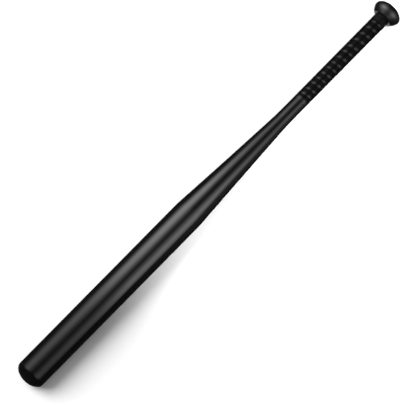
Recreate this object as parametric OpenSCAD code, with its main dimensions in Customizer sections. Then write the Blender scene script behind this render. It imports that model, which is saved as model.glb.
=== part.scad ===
// Baseball bat: a hollow metal tube with a domed end cap, a mushroom knob
// and a wound grip. It lies along X, barrel end at -X and knob at +X. The
// origin is on the ground below the middle of the bat, and +Z points up.

/* [Bat] */
// Overall length, from the tip of the barrel dome to the back of the knob
bat_len = 864; // [830:1:900]
// Diameter of the barrel, the widest part of the bat
barrel_d = 50; // [48:0.5:54]
// Length from the tip of the dome to the edge where the taper starts
barrel_len = 381; // [340:1:400]
// Length of the taper from the barrel down to the handle
taper_len = 218; // [200:1:240]
// How far the taper bows in from a straight cone, four times over
taper_bow = 1.6; // [0:0.1:3]
// Diameter of the handle at the small end of the taper
neck_d = 25.2; // [24.5:0.1:26.5]
// Diameter of the bare handle where the grip starts
handle_d = 24.5; // [24:0.1:25]

/* [Tube] */
// Wall thickness of the barrel
barrel_wall = 2.8; // [2:0.1:3.5]
// Wall thickness of the handle
handle_wall = 2.8; // [2:0.1:3.5]
// Diameter of the tube under the grip
seat_d = 21.8; // [21:0.1:22.4]

/* [End cap] */
// Height of the dome that closes the barrel
dome_h = 15.4; // [13:0.2:20]
// Thickness of the cap's shell and skirt
cap_wall = 3; // [2.5:0.1:4]
// Length of the skirt that plugs into the barrel
skirt_len = 22; // [16:1:30]
// Thickness of the adhesive between skirt and barrel
bond_t = 0.5; // [0.3:0.1:1]
// Length of the foam plug behind the cap
foam_len = 60; // [40:5:120]

/* [Knob] */
// Largest diameter of the knob
knob_d = 47.3; // [45:0.1:50]
// Diameter of the flat front face, where the knob starts to swell
knob_face_d = 32.8; // [30:0.2:34]
// Length from the front face to the widest place
knob_front = 12.6; // [11:0.1:15]
// Height of the domed back
knob_back = 13; // [11:0.1:15]
// Diameter of the plug in the back of the knob
plug_d = 19; // [17:0.5:20]

/* [Grip] */
// Length of the grip, both plain bands included
grip_len = 194.5; // [170:0.5:200]
// Diameter over the crowns of the tape at the upper end
grip_d = 24.9; // [24.6:0.1:26]
// Diameter over the crowns of the tape at the knob end
grip_knob_d = 25.3; // [24.6:0.1:26]
// Turns of tape that show between the two bands
grip_turns = 14; // [10:1:16]
// Length of the plain band that closes the winding at the upper end
upper_band_len = 6; // [5:0.5:14]
// Length of the plain band that starts the winding at the knob
lower_band_len = 10; // [6:0.5:16]
// Thickness of the soft layer under the tape
underlay_t = 0.4; // [0.2:0.1:0.6]

/* [Hidden] */
$fn = 96;

barrel_r = barrel_d / 2;
neck_r = neck_d / 2;
handle_r = handle_d / 2;
seat_r = seat_d / 2;
knob_r = knob_d / 2;
curve_steps = 14;          // straight pieces along each curved outline

// Places along the bat, measured from the tip of the dome
seam_at = dome_h + 1.2;    // the cap carries a short piece of the cylinder
knob_wide_at = bat_len - knob_back;
knob_face_at = knob_wide_at - knob_front;
weld_len = 2;
grip_end_at = knob_face_at - weld_len;
grip_at = grip_end_at - grip_len;
tape_at = grip_at + upper_band_len;
tape_end_at = grip_end_at - lower_band_len;
step_len = 2;              // length of the cone where the tube drops to the seat
tube_end_at = knob_wide_at;

// Inside the barrel
bore_r = barrel_r - barrel_wall;
skirt_r = bore_r - bond_t;
edge = 0.3;                // small chamfer on each edge of the seam
bond_from = seam_at + 3;
bond_to = seam_at + skirt_len - 3;
groove_depth = 0.6;        // grooves of the skirt, which the adhesive fills
groove_w = 3;
foam_at = seam_at + skirt_len + 8;
rib_t = 2;

// Inside the handle
handle_bore_r = seat_r - handle_wall;
plug_len = 35;             // foam plug that stops loose scale from rattling
plug_at = grip_at + 30;

// Knob and its plug
plug_r = plug_d / 2;
stem_r = plug_r - 2.5;
plug_head = 2.5;           // thickness of the plug's rim under its dome
front_power = 1.7;         // the swelling of the front, between a cone and an ellipse
plug_rim_at = knob_back_at(plug_r);
stem_from = tube_end_at + 1;

// Grip
tape_in_r = seat_r + underlay_t;
crown = 0.25;              // how far the edges of each turn sit below its crown
pitch = (tape_end_at - tape_at) / grip_turns;

// Radius of the tube's taper, for u from 0 at the barrel to 1 at the handle
function taper_r(u) = barrel_r - (barrel_r - neck_r) * u - taper_bow * u * (1 - u);

// Place along the bat of the knob's domed back at a distance r from its axis
function knob_back_at(r) = knob_wide_at + knob_back * sqrt(1 - pow(r / knob_r, 2));

// How long the front curve would be if it ran on to the axis of the bat
front_reach = knob_front / pow(1 - pow(knob_face_d / knob_d, front_power), 1 / front_power);

// Radius of the knob's front, at a distance x before its widest place
function knob_front_r(x) = knob_r * pow(1 - pow(x / front_reach, front_power), 1 / front_power);

// Radius over the crowns of the tape, at a place along the grip
function crown_r(at) = (grip_d + (grip_knob_d - grip_d) * (at - grip_at) / grip_len) / 2;

// Points of the barrel dome's outline, from its tip out, made smaller by inset
function dome_points(inset) = [for (i = [0 : curve_steps]) let (a = 90 * i / curve_steps)
    [(barrel_r - inset) * sin(a), dome_h - (dome_h - inset) * cos(a)]];

// Stands a turned piece on its place along the bat: its Z axis becomes X
module lay() {
    translate([-bat_len / 2, 0, barrel_r]) rotate([0, 90, 0]) children();
}

// A piece turned from an outline of points [radius, place along the bat]
module turned(points) {
    lay() rotate_extrude() polygon(points);
}

// A plain ring between two radii and two places along the bat
module ring(r_in, r_out, from, to) {
    turned([[r_in, from], [r_out, from], [r_out, to], [r_in, to]]);
}

// One-piece tube: barrel, taper, bare handle and the narrower seat of the grip
module barrel_tube() {
    outside = concat(
        [[barrel_r - edge, seam_at], [barrel_r, seam_at + edge]],
        [for (i = [0 : curve_steps]) let (u = i / curve_steps)
            [taper_r(u), barrel_len + taper_len * u]],
        [[handle_r, grip_at], [seat_r, grip_at + step_len], [seat_r, tube_end_at]]);
    inside = concat(
        [[handle_bore_r, tube_end_at], [handle_bore_r, grip_at + step_len],
            [handle_r - handle_wall, grip_at - step_len]],
        [for (i = [curve_steps : -1 : 0]) let (u = i / curve_steps,
            wall = barrel_wall + (handle_wall - barrel_wall) * u)
            [taper_r(u) - wall, barrel_len + taper_len * u]],
        [[bore_r, seam_at]]);
    color([0.05, 0.05, 0.055]) turned(concat(outside, inside));
}

// Points of one groove round the skirt, centred on a place along the bat
function groove(at) = [[skirt_r, at - groove_w / 2], [skirt_r - groove_depth, at - groove_w / 4],
    [skirt_r - groove_depth, at + groove_w / 4], [skirt_r, at + groove_w / 2]];

groove_places = [bond_from + 4, bond_to - 4];

// Moulded cap: dome, skirt with two grooves, and crossed ribs inside
module end_cap() {
    hollow_r = skirt_r - cap_wall;
    inner_dome = dome_points(barrel_r - hollow_r);
    shell = concat(
        dome_points(0),
        [[barrel_r, seam_at - edge], [barrel_r - edge, seam_at], [skirt_r, seam_at]],
        [for (at = groove_places) each groove(at)],
        [[skirt_r, seam_at + skirt_len - 1], [skirt_r - 1, seam_at + skirt_len],
            [hollow_r, seam_at + skirt_len]],
        [for (i = [curve_steps : -1 : 0]) inner_dome[i]]);
    color([0.045, 0.045, 0.05]) {
        turned(shell);
        lay() intersection() {
            rotate_extrude() polygon(concat(
                dome_points((barrel_r - hollow_r) / 2),
                [[hollow_r + 0.5, seam_at + skirt_len - 4], [0, seam_at + skirt_len - 4]]));
            for (turn = [0, 90]) rotate([0, 0, turn])
                translate([-rib_t / 2, -barrel_r, 0]) cube([rib_t, barrel_d, bat_len / 8]);
        }
    }
}

// Ring of adhesive that fills the gap and the grooves between skirt and tube
module cap_bond() {
    color([0.75, 0.7, 0.5]) turned(concat(
        [[bore_r, bond_to], [bore_r, bond_from], [skirt_r, bond_from]],
        [for (at = groove_places) each groove(at)],
        [[skirt_r, bond_to]]));
}

// Plug of foam that deadens the ring of the barrel
module barrel_foam() {
    color([0.3, 0.3, 0.32]) turned([[0, foam_at], [bore_r - 2, foam_at], [bore_r, foam_at + 2],
        [bore_r, foam_at + foam_len - 2], [bore_r - 2, foam_at + foam_len],
        [0, foam_at + foam_len]]);
}

// Small plug of foam in the handle
module handle_plug() {
    color([0.3, 0.3, 0.32]) ring(0, handle_bore_r, plug_at, plug_at + plug_len);
}

// Knob: flat face, swelling front and domed back, bored for tube and plug
module knob() {
    color([0.05, 0.05, 0.055]) turned(concat(
        [[seat_r, tube_end_at], [seat_r, knob_face_at]],
        [for (i = [curve_steps : -1 : 0]) let (x = knob_front * i / curve_steps)
            [knob_front_r(x), knob_wide_at - x]],
        [for (i = [1 : curve_steps]) let (a = i / curve_steps * acos(plug_r / knob_r))
            [knob_r * cos(a), knob_wide_at + knob_back * sin(a)]],
        [[plug_r, plug_rim_at - plug_head], [stem_r, plug_rim_at - plug_head],
            [stem_r, tube_end_at]]));
}

// Bead of weld that fills the corner between the tube and the knob's face
module knob_weld() {
    color([0.05, 0.05, 0.055]) turned([[seat_r, grip_end_at], [seat_r + weld_len * 0.6,
        grip_end_at + weld_len * 0.4], [seat_r + weld_len, knob_face_at], [seat_r, knob_face_at]]);
}

// Rubber plug pressed into the back of the knob; its face carries on the dome
module knob_plug() {
    color([0.08, 0.08, 0.08]) turned(concat(
        [[0, stem_from], [stem_r - 1, stem_from], [stem_r, stem_from + 1],
            [stem_r, plug_rim_at - plug_head], [plug_r, plug_rim_at - plug_head]],
        [for (i = [curve_steps : -1 : 0]) let (r = plug_r * i / curve_steps)
            [r, knob_back_at(r)]]));
}

// Soft layer between the tube and the tape
module grip_underlay() {
    color([0.2, 0.2, 0.2]) ring(seat_r, tape_in_r, tape_at, tape_end_at);
}

// Wound tape. Its turns are drawn as rings, because they lead by only 9 degrees
module grip_tape() {
    crowns = [for (i = [0 : grip_turns - 1]) let (at = tape_at + pitch * i)
        each [[crown_r(at) - crown, at], [crown_r(at), at + pitch * 0.3],
            [crown_r(at), at + pitch * 0.7]]];
    color([0.03, 0.03, 0.03]) turned(concat(
        [[tape_in_r, tape_at]], crowns,
        [[crown_r(tape_end_at) - crown, tape_end_at], [tape_in_r, tape_end_at]]));
}

// A plain band of tape with rounded edges, over the tube between two places
module band(from, to) {
    soft = 0.4;
    turned([[seat_r, from], [crown_r(from) - soft, from], [crown_r(from), from + soft],
        [crown_r(to), to - soft], [crown_r(to) - soft, to], [seat_r, to]]);
}

// Band that closes the winding at its upper end; it clears the tube's step
module upper_band() {
    color([0.04, 0.04, 0.04]) difference() {
        band(grip_at, tape_at);
        turned([[0, grip_at - 1], [handle_r + (handle_r - seat_r) / step_len, grip_at - 1],
            [seat_r, grip_at + step_len], [0, grip_at + step_len]]);
    }
}

// Band that starts the winding at the knob
module lower_band() {
    color([0.04, 0.04, 0.04]) band(tape_end_at, grip_end_at);
}

barrel_tube();
end_cap();
cap_bond();
barrel_foam();
handle_plug();
knob();
knob_weld();
knob_plug();
grip_underlay();
grip_tape();
upper_band();
lower_band();
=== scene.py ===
import math

import bmesh
import bpy
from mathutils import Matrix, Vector


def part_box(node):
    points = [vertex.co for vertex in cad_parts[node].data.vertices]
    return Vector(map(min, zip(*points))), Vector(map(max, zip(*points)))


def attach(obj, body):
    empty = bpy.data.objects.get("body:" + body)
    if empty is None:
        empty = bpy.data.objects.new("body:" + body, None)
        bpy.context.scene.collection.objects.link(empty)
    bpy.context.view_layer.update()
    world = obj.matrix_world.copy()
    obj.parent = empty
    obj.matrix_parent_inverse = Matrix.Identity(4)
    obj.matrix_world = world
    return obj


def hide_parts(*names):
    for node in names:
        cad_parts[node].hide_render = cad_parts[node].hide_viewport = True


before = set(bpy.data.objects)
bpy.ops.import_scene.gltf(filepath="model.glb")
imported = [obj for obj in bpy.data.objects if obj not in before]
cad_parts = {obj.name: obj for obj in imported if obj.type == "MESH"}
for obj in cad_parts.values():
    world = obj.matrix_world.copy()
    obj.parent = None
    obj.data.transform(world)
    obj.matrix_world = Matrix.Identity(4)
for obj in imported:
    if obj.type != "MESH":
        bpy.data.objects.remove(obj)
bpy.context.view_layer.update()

MM = 0.001
TURN = 2 * math.pi


# ---------------------------------------------------------------- places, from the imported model

def span(node):
    """Where a CAD node starts and ends along the bat."""
    low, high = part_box(node)
    return low.x, high.x


def radius(node):
    """Largest radius of a CAD node about the bat's axis."""
    low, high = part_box(node)
    return (high.z - low.z) / 2


TIP, CAP_END = span("end_cap")
SEAM, TUBE_END = span("barrel_tube")
BOND_FROM, BOND_TO = span("cap_bond")
TAPE_FROM, TAPE_TO = span("grip_tape")
GRIP_FROM = span("upper_band")[0]
GRIP_TO = span("lower_band")[1]
WELD_FROM, KNOB_FACE = span("knob_weld")
STEM_FROM = span("knob_plug")[0]
AXIS_Z = (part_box("end_cap")[0].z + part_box("end_cap")[1].z) / 2
BARREL_R = radius("end_cap")
KNOB_R = radius("knob")
PLUG_R = radius("knob_plug")
TAPE_R = radius("grip_tape")
TAPE_IN_R = radius("grip_underlay")
BAND_UP_R = radius("upper_band")
BAND_LOW_R = radius("lower_band")

# Sizes that the design states and that no box gives
DOME_H = 15.4 * MM
TAPER_FROM = TIP + 381 * MM
TAPER_TO = TIP + 599 * MM
TAPER_BOW = 1.6 * MM
NECK_R = 12.6 * MM
HANDLE_R = 12.25 * MM
SEAT_R = 10.9 * MM
WALL = 2.8 * MM
STEP_LEN = 2 * MM
CAP_WALL = 3 * MM
BOND_T = 0.5 * MM
RIB_T = 2 * MM
KNOB_WIDE = TUBE_END
KNOB_FACE_R = 16.4 * MM
FRONT_POWER = 1.7
KNOB_BACK_H = 13 * MM
STEM_R = 7 * MM
PLUG_HEAD = 2.5 * MM

AROUND = 256          # straight pieces round each turned skin
EDGE_R = 0.3 * MM     # rounding of the two edges that meet at the cap's seam
SOFTENED = 8 * MM     # reach over which the ends of the taper are rounded


# ---------------------------------------------------------------- mesh tools

def mesh_object(name, bm, body="root", sharp=35):
    """A new object from a bmesh: faces turned outwards, smooth, with sharp edges by angle. It
    rides the named body, if there is one."""
    bmesh.ops.recalc_face_normals(bm, faces=bm.faces)
    mesh = bpy.data.meshes.new(name)
    bm.to_mesh(mesh)
    bm.free()
    mesh.polygons.foreach_set("use_smooth", [True] * len(mesh.polygons))
    mesh.set_sharp_from_angle(angle=math.radians(sharp))
    obj = bpy.data.objects.new(name, mesh)
    bpy.context.scene.collection.objects.link(obj)
    if body:
        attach(obj, body)
    return obj


def on_bat(x, r, angle):
    """A point at a place along the bat, a distance from its axis and an angle from the top
    that grows towards -Y."""
    return Vector((x, -r * math.sin(angle), AXIS_Z + r * math.cos(angle)))


def turned(bm, outline, closed=False, lift=None, around=AROUND):
    """Adds a skin turned from an outline of (place, radius). Where the outline meets the axis it
    closes in a point. lift(x, r, angle) adds to the radius."""
    rings = []
    for x, r in outline:
        if r < 1e-6:
            rings.append([bm.verts.new(on_bat(x, 0, 0))])
        else:
            rings.append([
                bm.verts.new(on_bat(
                    x, r + (lift(x, r, TURN * i / around) if lift else 0), TURN * i / around))
                for i in range(around)])
    pairs = list(zip(rings, rings[1:]))
    if closed:
        pairs.append((rings[-1], rings[0]))
    for a, b in pairs:
        for i in range(around):
            j = (i + 1) % around
            if len(a) == 1 and len(b) == 1:
                continue
            if len(a) == 1:
                bm.faces.new((a[0], b[j], b[i]))
            elif len(b) == 1:
                bm.faces.new((a[i], a[j], b[0]))
            else:
                bm.faces.new((a[i], a[j], b[j], b[i]))


def arc(cx, cr, r, start, end, steps):
    """Points (place, radius) of a round corner about (cx, cr). Angles in degrees; 0 points
    along +X and 90 away from the axis."""
    points = []
    for i in range(steps + 1):
        a = math.radians(start + (end - start) * i / steps)
        points.append((cx + r * math.cos(a), cr + r * math.sin(a)))
    return points


def lerp(a, b, t):
    return a + (b - a) * t


def smooth(t):
    t = min(1.0, max(0.0, t))
    return t * t * (3 - 2 * t)


# ---------------------------------------------------------------- materials

class Nodes:
    """A short way to build one material's nodes round its Principled shader."""

    def __init__(self, name):
        self.material = bpy.data.materials.new(name)
        self.material.use_nodes = True
        self.tree = self.material.node_tree
        self.shader = self.tree.nodes["Principled BSDF"]
        self.place = self.add("ShaderNodeTexCoord").outputs["Object"]

    def add(self, kind, **settings):
        node = self.tree.nodes.new(kind)
        for key, value in settings.items():
            setattr(node, key, value)
        return node

    def link(self, a, b):
        self.tree.links.new(a, b)

    def stretched(self, x, y, z):
        """Object coordinates stretched per axis, for grain that runs one way."""
        node = self.add("ShaderNodeMapping", vector_type="POINT")
        node.inputs["Scale"].default_value = (x, y, z)
        self.link(self.place, node.inputs["Vector"])
        return node.outputs["Vector"]

    def noise(self, size, detail=4.0, place=None, roughness=0.55):
        """Noise whose blobs are about size metres across; runs from 0 to 1."""
        node = self.add("ShaderNodeTexNoise")
        node.inputs["Scale"].default_value = 1 / size
        node.inputs["Detail"].default_value = detail
        node.inputs["Roughness"].default_value = roughness
        self.link(place or self.place, node.inputs["Vector"])
        return node.outputs["Fac"]

    def cells(self, size, feature="F1", place=None):
        """Distance from the centres or the edges of cells about size metres across."""
        node = self.add("ShaderNodeTexVoronoi", feature=feature)
        node.inputs["Scale"].default_value = 1 / size
        self.link(place or self.place, node.inputs["Vector"])
        return node.outputs["Distance"]

    def span(self, value, low, high, to_low, to_high):
        node = self.add("ShaderNodeMapRange", interpolation_type="SMOOTHSTEP")
        for key, number in zip(("From Min", "From Max", "To Min", "To Max"),
                               (low, high, to_low, to_high)):
            node.inputs[key].default_value = number
        self.link(value, node.inputs["Value"])
        return node.outputs["Result"]

    def math(self, operation, a, b):
        node = self.add("ShaderNodeMath", operation=operation)
        for socket, value in zip(node.inputs, (a, b)):
            if isinstance(value, (int, float)):
                socket.default_value = value
            else:
                self.link(value, socket)
        return node.outputs["Value"]

    def colour(self, amount, dark, light):
        """The base colour, between two colours by amount."""
        node = self.add("ShaderNodeMix", data_type="RGBA")
        node.inputs["A"].default_value = (*dark, 1)
        node.inputs["B"].default_value = (*light, 1)
        self.link(amount, node.inputs["Factor"])
        self.link(node.outputs["Result"], self.shader.inputs["Base Color"])

    def rough(self, value):
        self.link(value, self.shader.inputs["Roughness"])

    def bump(self, height, depth, strength=1.0, under=None):
        """Relief of a depth in metres. Chains on to the bump under it."""
        node = self.add("ShaderNodeBump")
        node.inputs["Strength"].default_value = strength
        node.inputs["Distance"].default_value = depth
        self.link(height, node.inputs["Height"])
        if under:
            self.link(under, node.inputs["Normal"])
        return node.outputs["Normal"]

    def normal(self, value):
        self.link(value, self.shader.inputs["Normal"])

    def fixed(self, **values):
        """Values that are the same all over, on the shader's own sockets."""
        for key, value in values.items():
            self.shader.inputs[key.replace("_", " ")].default_value = value


def paint_material(name, low_rough, high_rough, scuff, gloss=0.5):
    """Satin black coat: faint orange peel, slow colour drift and fine handling marks."""
    m = Nodes(name)
    m.colour(m.noise(60 * MM, 3), (0.0016, 0.0016, 0.0018), (0.0026, 0.0026, 0.0027))
    drift = m.span(m.noise(25 * MM, 5), 0.35, 0.65, low_rough, high_rough)
    marks = m.span(m.noise(3 * MM, 6, m.stretched(0.12, 1, 1), 0.7), 0.62, 0.78, 0, scuff)
    m.rough(m.math("ADD", drift, marks))
    peel = m.bump(m.noise(1.1 * MM, 2), 0.0035 * MM)
    m.normal(m.bump(m.noise(0.22 * MM, 2), 0.0006 * MM, under=peel))
    m.fixed(Specular_IOR_Level=gloss)
    return m.material


PAINT = paint_material("satin_black_coat", 0.14, 0.18, 0.05)
CAP_COAT = paint_material("moulded_cap_black", 0.17, 0.21, 0.04)
KNOB_COAT = paint_material("knob_black_coat", 0.31, 0.36, 0.04, 0.7)


def rubber_material():
    m = Nodes("plug_rubber_matt")
    m.colour(m.noise(4 * MM, 4), (0.010, 0.010, 0.0105), (0.016, 0.016, 0.016))
    m.rough(m.span(m.noise(2 * MM, 4), 0.3, 0.7, 0.55, 0.75))
    m.normal(m.bump(m.noise(0.25 * MM, 3), 0.02 * MM))
    return m.material


def leather_material(name, low_rough, high_rough, depth, gloss):
    """Synthetic leather: pebble grain with creases between, duller in the creases, and darker in
    them as painted shade.
    """
    m = Nodes(name)
    pebble = m.cells(0.75 * MM, "DISTANCE_TO_EDGE")
    crease = m.span(pebble, 0.0, 0.22, 0, 1)
    # Base colour darkens in the creases: painted shade, varied by slow noise
    m.colour(m.math("MULTIPLY", crease, m.noise(9 * MM, 4)), (0.0005, 0.0005, 0.0005),
             (0.0016, 0.0016, 0.0017))
    m.rough(m.span(m.math("ADD", crease, m.noise(5 * MM, 4)), 0.4, 1.7, high_rough, low_rough))
    grain = m.bump(crease, depth)
    m.normal(m.bump(m.noise(0.16 * MM, 3), depth * 0.25, under=grain))
    m.fixed(Specular_IOR_Level=gloss)
    return m.material


GRAIN = leather_material("grip_grained_panel", 0.35, 0.48, 0.03 * MM, 0.09)
WELT = leather_material("grip_smooth_welt", 0.11, 0.21, 0.004 * MM, 0.48)


def vinyl_material(name, low_rough, high_rough, gloss):
    """Plain vinyl tape, with the slight waves of tape pulled on by hand."""
    m = Nodes(name)
    m.colour(m.noise(12 * MM, 4), (0.002, 0.002, 0.002), (0.004, 0.004, 0.0042))
    m.rough(m.span(m.noise(6 * MM, 5), 0.35, 0.65, low_rough, high_rough))
    m.normal(m.bump(m.noise(2.5 * MM, 3), 0.02 * MM))
    m.fixed(Specular_IOR_Level=gloss)
    return m.material


def adhesive_material():
    m = Nodes("cured_adhesive")
    m.colour(m.noise(3 * MM, 5), (0.55, 0.48, 0.28), (0.75, 0.70, 0.50))
    m.rough(m.span(m.noise(2 * MM, 4), 0.3, 0.7, 0.3, 0.5))
    m.normal(m.bump(m.noise(1.5 * MM, 4), 0.1 * MM))
    return m.material


def foam_material():
    m = Nodes("closed_cell_foam")
    cell = m.cells(0.9 * MM)
    m.colour(cell, (0.24, 0.24, 0.25), (0.12, 0.12, 0.125))
    m.rough(m.span(cell, 0, 0.7, 0.8, 0.95))
    m.normal(m.bump(cell, 0.2 * MM))
    return m.material


def underlay_material():
    m = Nodes("soft_underlay")
    weave = m.math("MULTIPLY", m.noise(0.4 * MM, 3, m.stretched(0.3, 1, 1)),
                   m.noise(0.4 * MM, 3, m.stretched(1, 0.3, 0.3)))
    m.colour(weave, (0.05, 0.05, 0.05), (0.14, 0.14, 0.14))
    m.rough(m.span(weave, 0.1, 0.5, 0.95, 0.8))
    m.normal(m.bump(weave, 0.1 * MM))
    return m.material


# ---------------------------------------------------------------- barrel tube

def taper_r(u):
    """Radius of the tube's outside, for u from 0 where the taper starts to 1 where it ends."""
    return lerp(BARREL_R, NECK_R, u) - TAPER_BOW * u * (1 - u)


def tube_r(x):
    """Radius of the tube's outside at a place along the bat, before any softening."""
    if x <= TAPER_FROM:
        return BARREL_R
    if x <= TAPER_TO:
        return taper_r((x - TAPER_FROM) / (TAPER_TO - TAPER_FROM))
    return lerp(NECK_R, HANDLE_R, min(1, (x - TAPER_TO) / (GRIP_FROM - TAPER_TO)))


def soft_tube_r(x):
    """tube_r averaged over a short reach, which rounds the edges where the taper starts and
    ends, as swaging does."""
    steps = 8
    return sum(tube_r(x + SOFTENED * (i / steps - 0.5)) for i in range(steps + 1)) / (steps + 1)


def places(start, end, step):
    """Evenly spaced places from start to end, about a step apart."""
    count = max(1, round((end - start) / step))
    return [lerp(start, end, i / count) for i in range(count + 1)]


def make_tube():
    """The drawn tube, outside and bore, with the step where it necks down under the grip."""
    outside = arc(SEAM + EDGE_R, BARREL_R - EDGE_R, EDGE_R, 180, 90, 6)
    coarse, medium, fine = 12 * MM, 3 * MM, 1 * MM
    near, beyond = SOFTENED - 1 * MM, SOFTENED
    for start, end, step in ((SEAM + 4 * MM, TAPER_FROM - beyond, coarse),
                             (TAPER_FROM - near, TAPER_FROM + near, fine),
                             (TAPER_FROM + beyond, TAPER_TO - beyond, medium),
                             (TAPER_TO - near, TAPER_TO + near, fine),
                             (TAPER_TO + beyond, GRIP_FROM - 1 * MM, medium)):
        outside += [(x, soft_tube_r(x)) for x in places(start, end, step)]
    outside += [(GRIP_FROM + 0.2 * MM, HANDLE_R), (GRIP_FROM + STEP_LEN, SEAT_R),
                (TUBE_END, SEAT_R)]
    inside = [(TUBE_END, SEAT_R - WALL), (GRIP_FROM + STEP_LEN, SEAT_R - WALL),
              (GRIP_FROM - STEP_LEN, HANDLE_R - WALL)]
    inside += [(x, tube_r(x) - WALL) for x in places(TAPER_TO, TAPER_FROM, coarse)]
    inside += [(SEAM, BARREL_R - WALL)]
    bm = bmesh.new()
    turned(bm, outside + inside, closed=True)
    tube = mesh_object("tube_body", bm)
    tube.data.materials.append(PAINT)
    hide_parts("barrel_tube")


# ---------------------------------------------------------------- end cap

def dome(inset, steps):
    """Points of the barrel dome from its tip out, made smaller by an inset."""
    points = []
    for i in range(steps + 1):
        a = math.radians(90 * i / steps)
        points.append((TIP + DOME_H - (DOME_H - inset) * math.cos(a),
                       (BARREL_R - inset) * math.sin(a)))
    return points


def make_cap():
    """Dome and skirt in one, with two grooves round the skirt for the adhesive."""
    skirt_r = BARREL_R - WALL - BOND_T
    hollow_r = skirt_r - CAP_WALL
    groove_d, groove_w, groove_in = 0.6 * MM, 3 * MM, 4 * MM
    chamfer = 1 * MM
    outline = dome(0, 40)
    outline += arc(SEAM - EDGE_R, BARREL_R - EDGE_R, EDGE_R, 90, 0, 6)
    outline += [(SEAM, skirt_r)]
    for at in (BOND_FROM + groove_in, BOND_TO - groove_in):
        outline += [(at - groove_w / 2, skirt_r), (at - groove_w / 4, skirt_r - groove_d),
                    (at + groove_w / 4, skirt_r - groove_d), (at + groove_w / 2, skirt_r)]
    outline += [(CAP_END - chamfer, skirt_r), (CAP_END, skirt_r - chamfer), (CAP_END, hollow_r)]
    outline += dome(BARREL_R - hollow_r, 24)[::-1]
    bm = bmesh.new()
    turned(bm, outline)
    cap = mesh_object("dome_cap", bm)
    cap.data.materials.append(CAP_COAT)

    # Crossed ribs that stiffen the dome from inside, sunk half into its wall
    root = dome((BARREL_R - hollow_r) / 2, 16)
    rib_end = CAP_END - 4 * MM
    sunk = 0.5 * MM
    half = root + [(rib_end, hollow_r + sunk)]
    profile = half + [(x, -r) for x, r in half[:0:-1]]
    for upright in (True, False):
        rib = bmesh.new()
        sides = []
        for side in (-RIB_T / 2, RIB_T / 2):
            ring = []
            for x, r in profile:
                across, up = (side, r) if upright else (r, side)
                ring.append(rib.verts.new((x, across, AXIS_Z + up)))
            sides.append(ring)
        rib.faces.new(sides[0])
        rib.faces.new(sides[1][::-1])
        count = len(profile)
        for i in range(count):
            j = (i + 1) % count
            rib.faces.new((sides[0][i], sides[0][j], sides[1][j], sides[1][i]))
        cutter = mesh_object("rib_tool", rib, body=None)
        join = cap.modifiers.new("rib", "BOOLEAN")
        join.operation, join.solver, join.object = "UNION", "EXACT", cutter
        bpy.context.view_layer.update()
        joined = bpy.data.meshes.new_from_object(
            cap.evaluated_get(bpy.context.evaluated_depsgraph_get()))
        cap.modifiers.clear()
        cap.data = joined
        bpy.data.objects.remove(cutter)
    cap.data.set_sharp_from_angle(angle=math.radians(35))
    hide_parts("end_cap")


# ---------------------------------------------------------------- knob

def knob_back_at(r):
    """Place along the bat of the knob's domed back, at a distance from the axis."""
    return KNOB_WIDE + KNOB_BACK_H * math.sqrt(1 - (r / KNOB_R) ** 2)


def make_knob():
    """Mushroom of revolution: flat front face, swollen front, widest ring, domed back with the
    plug's stepped bore. Both edges that can be touched are rounded."""
    front_len = KNOB_WIDE - KNOB_FACE
    reach = front_len / (1 - (KNOB_FACE_R / KNOB_R) ** FRONT_POWER) ** (1 / FRONT_POWER)
    face_round, lip = 0.9 * MM, 0.35 * MM
    outline = [(TUBE_END, SEAT_R), (KNOB_FACE, SEAT_R), (KNOB_FACE, KNOB_FACE_R - 1.2 * MM)]
    for back, out in ((0.02, -0.7), (0.10, -0.25), (0.30, 0.15)):      # the face's rounded edge
        outline.append((KNOB_FACE + back * MM, KNOB_FACE_R + out * MM))
    front_steps, back_steps = 40, 32
    for i in range(front_steps, -1, -1):
        x = front_len * (i / front_steps) ** 1.5                       # closer near the widest
        if KNOB_WIDE - x > KNOB_FACE + face_round:
            outline.append((KNOB_WIDE - x, KNOB_R * (1 - (x / reach) ** FRONT_POWER)
                            ** (1 / FRONT_POWER)))
    end = math.acos(PLUG_R / KNOB_R)
    for i in range(1, back_steps + 1):
        a = end * i / back_steps
        x, r = KNOB_WIDE + KNOB_BACK_H * math.sin(a), KNOB_R * math.cos(a)
        if r > PLUG_R + lip:
            outline.append((x, r))
    plug_rim = knob_back_at(PLUG_R)
    outline += [(plug_rim - 0.02 * MM, PLUG_R + 0.2 * MM),
                (plug_rim - 0.12 * MM, PLUG_R + 0.05 * MM), (plug_rim - lip, PLUG_R),
                (plug_rim - PLUG_HEAD, PLUG_R), (plug_rim - PLUG_HEAD, STEM_R),
                (TUBE_END, STEM_R)]
    bm = bmesh.new()
    turned(bm, outline, closed=True)
    knob = mesh_object("knob_body", bm)
    knob.data.materials.append(KNOB_COAT)
    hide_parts("knob")


def make_knob_plug():
    """Rubber plug: its face carries on the knob's dome, with a rounded rim and a ring groove."""
    plug_rim = knob_back_at(PLUG_R)
    soft, chamfer = 0.5 * MM, 1 * MM
    groove_r, groove_w, groove_d = 6.2 * MM, 1.1 * MM, 0.45 * MM
    dish_r, dish_d = 3.4 * MM, 0.35 * MM
    outline = [(STEM_FROM, 0), (STEM_FROM, STEM_R - chamfer), (STEM_FROM + chamfer, STEM_R),
               (plug_rim - PLUG_HEAD, STEM_R), (plug_rim - PLUG_HEAD, PLUG_R)]
    outline += arc(plug_rim - soft, PLUG_R - soft, soft, 90, 25, 6)
    steps = 60
    face_r = PLUG_R - 0.45 * MM    # where the rounded rim ends
    for i in range(steps + 1):
        r = face_r * (1 - i / steps)
        dent = groove_d * (1 - smooth(abs(r - groove_r) / groove_w))
        dish = dish_d * (1 - smooth(r / dish_r))
        outline.append((knob_back_at(r) - dent - dish, max(r, 0)))
    bm = bmesh.new()
    turned(bm, outline)
    plug = mesh_object("knob_rubber_plug", bm)
    plug.data.materials.append(rubber_material())
    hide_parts("knob_plug")


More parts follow.
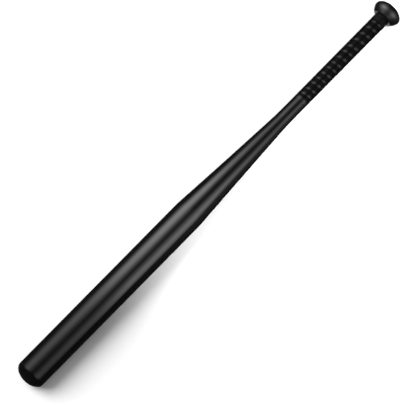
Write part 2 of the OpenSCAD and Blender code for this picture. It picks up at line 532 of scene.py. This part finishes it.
def make_weld():
    """Bead that fills the corner at the knob, with the ripples that a weld leaves."""
    height = radius("knob_weld") - SEAT_R
    ripples, ripple_d = 34, 0.12 * MM
    slant = 900                # radians of ripple per metre along the bat

    def ripple(x, r, angle):
        if r < SEAT_R + 0.2 * MM:
            return 0
        wave = math.cos(ripples * angle + (x - WELD_FROM) * slant)
        return -ripple_d / 2 * (1 - wave) * (r - SEAT_R) / height

    outline = [(KNOB_FACE, SEAT_R), (WELD_FROM, SEAT_R)]
    length = KNOB_FACE - WELD_FROM
    steps, hollow = 12, 1.25   # the bead's face is a little concave
    for i in range(1, steps + 1):
        t = i / steps
        outline.append((WELD_FROM + length * t, SEAT_R + height * t ** hollow))
    bm = bmesh.new()
    turned(bm, outline, closed=True, lift=ripple)
    bead = mesh_object("weld_bead", bm)
    bead.data.materials.append(KNOB_COAT)
    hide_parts("knob_weld")


# ---------------------------------------------------------------- grip

PITCH = 12.85 * MM         # mean lead of the winding
FIRST_RIDGE = 1.5 * MM     # ridge 0, from the start of the grip
BUNCH = 5.8 * MM           # how far the middle turns are pushed towards the barrel
BUNCH_SKEW = 1.3           # above 1, the bunching is strongest nearer the knob
LAST_RIDGE = 13            # beyond this turn the winding is tighter
TIGHTER = 1.5 * MM
WANDER = 0.5 * MM          # unevenness of winding by hand
WANDER_RATE = 2.4          # radians of that unevenness in one turn
FACING = math.radians(16.25)   # angle at which ridge 0, 1, 2 ... stand at their stated places
STEPS = 59                 # steps in one turn; a hole takes two, so turns shift by half a hole
ROWS = 3                   # rows of holes in one turn
WELT_HALF = 1.9 * MM
WELT_UP = 0.15 * MM        # welt above the panel beside it
WELT_STEP = 0.55           # share of that height on the side of the turn before
WELT_BLUNT = 0.8           # below 1, the welt's crown is flatter than a half round
LAP = 0.05 * MM            # how far the panel sinks towards the next turn's edge
HOLE_R = 0.55 * MM
HOLE_DEPTH = 0.3 * MM
HOLE_ROUND = 0.05 * MM     # depth of the rounded rim


def ridge_at(n):
    """Place along the bat of the winding's ridge, for the turn n."""
    push = BUNCH * math.sin(math.pi * min(1, max(n, 0) / LAST_RIDGE) ** BUNCH_SKEW)
    tight = TIGHTER * max(0, n - LAST_RIDGE)
    wander = WANDER * math.sin(WANDER_RATE * n)
    return GRIP_FROM + FIRST_RIDGE + PITCH * n - push - tight + wander


def crown_r(x):
    """Radius over the crowns of the tape."""
    return lerp(BAND_UP_R, TAPE_R, min(1, max(0, (x - TAPE_FROM) / (TAPE_TO - TAPE_FROM))))


def strip_r(q, x):
    """Radius of the tape's face, q metres from the ridge of its own turn. The welt is a half
    round along the strip's edge: a step up from the turn before, then down to its own panel."""
    if q < -WELT_HALF:
        drop = WELT_UP + LAP
    elif q < WELT_HALF:
        rise = math.cos(math.pi / 2 * (q / WELT_HALF)) ** WELT_BLUNT if q > -WELT_HALF else 0
        fall = WELT_UP * WELT_STEP if q < 0 else WELT_UP
        drop = fall * (1 - rise)
    else:
        drop = WELT_UP + LAP * (q - WELT_HALF) / (PITCH - 2 * WELT_HALF)
    return crown_r(x) - drop


def make_grip():
    """The wound tape: a helical skin of rows that run along the strip, cut square where the plain
    bands start, and closed by a smooth inside."""
    bm = bmesh.new()
    first, last = -2, 17       # turns made before the ends are cut
    welt_rows = [-WELT_HALF - 0.12 * MM, -WELT_HALF]
    welt_rows += [0.4 * MM * i for i in range(-4, 5)]
    panel_from = WELT_HALF + 0.15 * MM
    panel_to = PITCH + welt_rows[0]
    panel_rows = [lerp(panel_from, panel_to, i / (2 * ROWS)) for i in range(2 * ROWS + 1)]
    rows = welt_rows + panel_rows
    top = len(rows) - 1
    first_panel = len(welt_rows)
    made = {}

    def point(step, q):
        n = step / STEPS + q / PITCH
        x = ridge_at(n)
        return on_bat(x, strip_r(q, x), TURN * (step % STEPS) / STEPS + FACING)

    def vert(step, row):
        if row == top:                 # the far edge of a turn is the near edge of the next
            step, row = step + STEPS, 0
        if (step, row) not in made:
            made[step, row] = bm.verts.new(point(step, rows[row]))
        return made[step, row]

    def hole(step, row):
        """One cell of the panel, two steps by two rows, with a round hole sunk in it."""
        rim = [vert(step, row), vert(step + 1, row), vert(step + 2, row), vert(step + 2, row + 1),
               vert(step + 2, row + 2), vert(step + 1, row + 2), vert(step, row + 2),
               vert(step, row + 1)]
        centre = point(step + 1, rows[row + 1])
        from_axis = centre - Vector((centre.x, 0, AXIS_Z))
        along = Vector((1, 0, 0))
        side = from_axis.normalized().cross(along)
        spokes = [v.co - centre for v in rim]
        rings = [rim]
        for r, depth in ((HOLE_R * 1.35, 0.0), (HOLE_R * 1.1, HOLE_ROUND), (HOLE_R, HOLE_DEPTH)):
            ring = []
            for spoke in spokes:
                flat = Vector((spoke.dot(along), spoke.dot(side))).normalized() * r
                at = centre + along * flat.x + side * flat.y
                foot = Vector((at.x, 0, AXIS_Z))
                out = (at - foot).normalized()
                ring.append(bm.verts.new(foot + out * (from_axis.length - depth)))
            rings.append(ring)
        for a, b in zip(rings, rings[1:]):
            for i in range(8):
                j = (i + 1) % 8
                bm.faces.new((a[i], a[j], b[j], b[i]))
        bm.faces.new(rings[-1])

    for step in range(first * STEPS, last * STEPS):
        for row in range(first_panel):
            face = bm.faces.new((vert(step, row), vert(step + 1, row),
                                 vert(step + 1, row + 1), vert(step, row + 1)))
            if row >= 1:
                face.material_index = 1      # the welt
    for line in range(ROWS):
        row = first_panel + 2 * line
        shift = line % 2           # every other row of holes is staggered
        for step in range(first * STEPS + shift, last * STEPS - 1, 2):
            hole(step, row)

    # Square ends, under the two plain bands
    for x, out in ((TAPE_FROM, -1), (TAPE_TO, 1)):
        everything = bm.verts[:] + bm.edges[:] + bm.faces[:]
        bmesh.ops.bisect_plane(bm, geom=everything, plane_co=(x, 0, 0), plane_no=(out, 0, 0),
                               clear_outer=True)
    turned(bm, [(TAPE_FROM, TAPE_IN_R), (TAPE_TO, TAPE_IN_R)])
    for x in (TAPE_FROM, TAPE_TO):
        open_edges = [e for e in bm.edges if len(e.link_faces) == 1
                      and all(abs(v.co.x - x) < 1e-6 for v in e.verts)]
        bmesh.ops.triangle_fill(bm, edges=open_edges, use_beauty=True, normal=(1, 0, 0))
    grip = mesh_object("wound_grip", bm, sharp=40)
    grip.data.materials.append(GRAIN)
    grip.data.materials.append(WELT)
    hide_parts("grip_tape")


def make_band(name, node, start, end, r, tail, material):
    """A plain band of vinyl tape in two layers, whose tail ends in a small step at an angle."""
    soft = 0.35 * MM
    layer = 0.12 * MM
    tail_share = 60            # the step at the tail takes one part in so many of a turn

    def spiral(x, outer, angle):
        if outer < TAPE_IN_R + 0.5 * MM:
            return 0
        t = ((angle - tail) / TURN) % 1
        return -layer * smooth(min(t * tail_share, 1)) * (1 - t)

    outline = arc(start + soft, r - soft, soft, 180, 90, 5)
    outline += [(lerp(start, end, t), r) for t in (0.25, 0.5, 0.75)]
    outline += arc(end - soft, r - soft, soft, 90, 0, 5)
    if name == "finish_band":      # it covers the step where the handle necks down
        seat = [(end, SEAT_R), (start + STEP_LEN, SEAT_R), (start, HANDLE_R)]
    else:
        seat = [(end, SEAT_R), (start, SEAT_R)]
    bm = bmesh.new()
    turned(bm, outline + seat, closed=True, lift=spiral)
    band = mesh_object(name, bm)
    band.data.materials.append(material)
    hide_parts(node)


# ---------------------------------------------------------------- build

make_tube()
make_cap()
make_knob()
make_knob_plug()
make_weld()
make_grip()
make_band("finish_band", "upper_band", GRIP_FROM, TAPE_FROM, BAND_UP_R, math.radians(200),
          vinyl_material("vinyl_gloss", 0.24, 0.32, 0.5))
make_band("start_band", "lower_band", TAPE_TO, GRIP_TO, BAND_LOW_R, math.radians(150),
          vinyl_material("vinyl_dull", 0.45, 0.6, 0.12))

for node, material in (("cap_bond", adhesive_material()), ("barrel_foam", foam_material()),
                       ("handle_plug", foam_material()), ("grip_underlay", underlay_material())):
    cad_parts[node].material_slots[0].material = material


# ---------------------------------------------------------------- camera

AZIMUTH = math.radians(-47.874)
ELEVATION = math.radians(66.503)
LENS = 1000
VIEW_WIDTH = 0.6380        # width of the view at the bat
AIM_ALONG = 0.4115         # from the tip of the dome
AIM_ASIDE = 2.37 * MM

towards_camera = Vector((math.sin(AZIMUTH) * math.cos(ELEVATION),
                         -math.cos(AZIMUTH) * math.cos(ELEVATION), math.sin(ELEVATION)))
aside = Vector((1, 0, 0)).cross(towards_camera).normalized()
aim = Vector((TIP + AIM_ALONG, 0, AXIS_Z)) + aside * AIM_ASIDE
camera_data = bpy.data.cameras.new("camera")
camera_data.lens = LENS
camera_data.clip_start, camera_data.clip_end = 0.1, 100
camera = bpy.data.objects.new("camera", camera_data)
camera.location = aim + towards_camera * (VIEW_WIDTH * LENS / camera_data.sensor_width)
camera.rotation_euler = (-towards_camera).to_track_quat("-Z", "Y").to_euler()
bpy.context.scene.collection.objects.link(camera)
bpy.context.scene.camera = camera


# ---------------------------------------------------------------- floor and light

def make_floor():
    """A level pale floor under the bat. Reflections and lamps look through it, because the panels
    and the lamp below it stand for what the floor would mirror."""
    half_width = 30
    bm = bmesh.new()
    bmesh.ops.create_grid(bm, x_segments=2, y_segments=2, size=half_width)
    floor = mesh_object("floor", bm, body=None)
    m = Nodes("pale_floor")
    m.colour(m.noise(0.8, 2), (0.86, 0.86, 0.86), (0.88, 0.88, 0.88))
    m.fixed(Roughness=1.0, Specular_IOR_Level=0.0)
    floor.data.materials.append(m.material)
    floor.visible_glossy = floor.visible_shadow = False
    return floor


def make_world(seen, mirrored, ambient):
    """Plain surroundings, with one brightness where the camera sees them, one in reflections and
    one for the light that they cast."""
    world = bpy.data.worlds.new("studio")
    world.use_nodes = True
    tree = world.node_tree
    back = tree.nodes["Background"]
    path = tree.nodes.new("ShaderNodeLightPath")
    pick_glossy = tree.nodes.new("ShaderNodeMix")
    pick_glossy.inputs["A"].default_value = ambient
    pick_glossy.inputs["B"].default_value = mirrored
    tree.links.new(path.outputs["Is Glossy Ray"], pick_glossy.inputs["Factor"])
    pick_camera = tree.nodes.new("ShaderNodeMix")
    pick_camera.inputs["B"].default_value = seen
    tree.links.new(pick_glossy.outputs["Result"], pick_camera.inputs["A"])
    tree.links.new(path.outputs["Is Camera Ray"], pick_camera.inputs["Factor"])
    tree.links.new(pick_camera.outputs["Result"], back.inputs["Strength"])
    back.inputs["Color"].default_value = (1, 1, 1, 1)
    bpy.context.scene.world = world


def aimed_light(name, data, place, target):
    """A lamp at a place, turned towards a target."""
    light = bpy.data.objects.new(name, data)
    light.location = place
    light.rotation_euler = (Vector(place) - Vector(target)).to_track_quat("Z", "Y").to_euler()
    light.visible_camera = False
    bpy.context.scene.collection.objects.link(light)
    return light


def softbox(name, level, across, along):
    """A wide panel beside the bat that gives it a long soft highlight. across is (degrees, share)
    from the top and growing towards +Y, along is (metres, share) in the bat's direction: the
    panel's brightness is its level times both shares. It shows in reflections only."""
    distance = 0.8             # from the bat's axis to the panel's plane
    middle = (across[0][0] + across[-1][0]) / 2
    reach = math.tan(math.radians(across[-1][0] - middle))
    start, end = along[0][0], along[-1][0]
    angle = math.radians(middle)
    data = bpy.data.lights.new(name, "AREA")
    data.shape = "RECTANGLE"
    data.size = end - start
    data.size_y = 2 * distance * reach
    data.energy = level * math.pi * data.size * data.size_y
    light = bpy.data.objects.new(name, data)
    light.location = ((start + end) / 2, distance * math.sin(angle),
                      AXIS_Z + distance * math.cos(angle))
    light.rotation_euler = (-angle, 0, 0)
    light.visible_camera = light.visible_diffuse = False
    bpy.context.scene.collection.objects.link(light)

    data.use_nodes = True
    tree = data.node_tree
    place = tree.nodes.new("ShaderNodeNewGeometry").outputs["Parametric"]
    parts = tree.nodes.new("ShaderNodeSeparateXYZ")
    tree.links.new(place, parts.inputs["Vector"])
    product = tree.nodes.new("ShaderNodeMath")
    product.operation = "MULTIPLY"
    spread = [(0.5 + 0.5 * math.tan(math.radians(d - middle)) / reach, share)
              for d, share in across]
    length = [((x - start) / (end - start), share) for x, share in along]
    for index, (axis, stops) in enumerate((("Y", spread), ("X", length))):
        ramp = tree.nodes.new("ShaderNodeValToRGB")
        ramp.color_ramp.interpolation = "CARDINAL" if axis == "Y" else "LINEAR"
        elements = ramp.color_ramp.elements
        while len(elements) < len(stops):
            elements.new(0.5)
        for element, (at, _) in zip(elements, stops):
            element.position = at
        for element, (_, share) in zip(elements, stops):
            element.color = (share, share, share, 1)
        tree.links.new(parts.outputs[axis], ramp.inputs["Fac"])
        tree.links.new(ramp.outputs["Color"], product.inputs[index])
    tree.links.new(product.outputs["Value"], tree.nodes["Emission"].inputs["Strength"])


floor = make_floor()
make_world(seen=1.0, mirrored=0.03, ambient=0.42)

# The two tall panels are brightest over the middle of the bat and drop beyond its taper
softbox("left_panel", 4.6,
        across=((-14, 0.06), (-5, 0.13), (7, 0.33), (19, 0.73), (31, 0.97), (44, 0.95),
                (57, 0.53), (73, 0.12), (88, 0.02)),
        along=((-1.3, 0.25), (-0.3, 0.32), (-0.16, 0.27), (-0.01, 0.41), (0.012, 0.80),
               (0.07, 0.82), (0.13, 0.98), (0.355, 1.0), (0.37, 0.64), (0.45, 0.42),
               (0.52, 0.31), (0.7, 0.27), (1.5, 0.2)))
softbox("right_panel", 3.35,
        across=((-92, 0.22), (-76, 0.70), (-63, 1.0), (-51, 0.77), (-39, 0.42), (-28, 0.18),
                (-18, 0.08)),
        along=((-1.3, 0.22), (-0.3, 0.27), (-0.16, 0.21), (-0.01, 0.34), (0.012, 0.88),
               (0.07, 0.88), (0.13, 0.97), (0.355, 0.98), (0.37, 0.68), (0.47, 0.45),
               (0.7, 0.32), (1.5, 0.2)))
softbox("low_panel", 0.25,
        across=((-140, 0.15), (-124, 0.55), (-110, 1.0), (-96, 0.9), (-84, 0.2)),
        along=((0.0, 0.0), (0.1, 0.2), (0.2, 0.6), (0.35, 0.7), (0.5, 1.0), (1.5, 1.0)))

# Lights the floor and gives the bat its soft shadow
key = bpy.data.lights.new("key", "SUN")
key.energy = 3.75
key.angle = math.radians(52)
key_light = aimed_light("key", key, (-0.33, 0.62, 0.71), (0, 0, 0))
key_light.visible_glossy = False

# The pale floor that the knob's flat front face would mirror
GLINT = 0.8                # radiance of the lamp's face
glint = bpy.data.lights.new("knob_glint", "AREA")
glint.shape = "DISK"
glint.size = 0.24
glint.energy = GLINT * math.pi * math.pi * (glint.size / 2) ** 2
glint_light = aimed_light("knob_glint", glint, (0.32, 0.085, -0.26), (KNOB_FACE, 0, AXIS_Z))
glint_light.visible_diffuse = False

# Lifts the floor's shadow under the taper and the handle, and lights nothing else
fill = bpy.data.lights.new("floor_fill", "SPOT")
fill.spot_size, fill.spot_blend = math.radians(42), 0.5
fill.shadow_soft_size = 0.1
fill.energy = 75
fill_light = aimed_light("floor_fill", fill, (0.28, -0.6, 1.2), (0.28, -0.04, 0))
fill_light.visible_glossy = False
lit = bpy.data.collections.new("floor_only")
lit.objects.link(floor)
fill_light.light_linking.receiver_collection = lit

bpy.context.scene.view_settings.view_transform = "Standard"
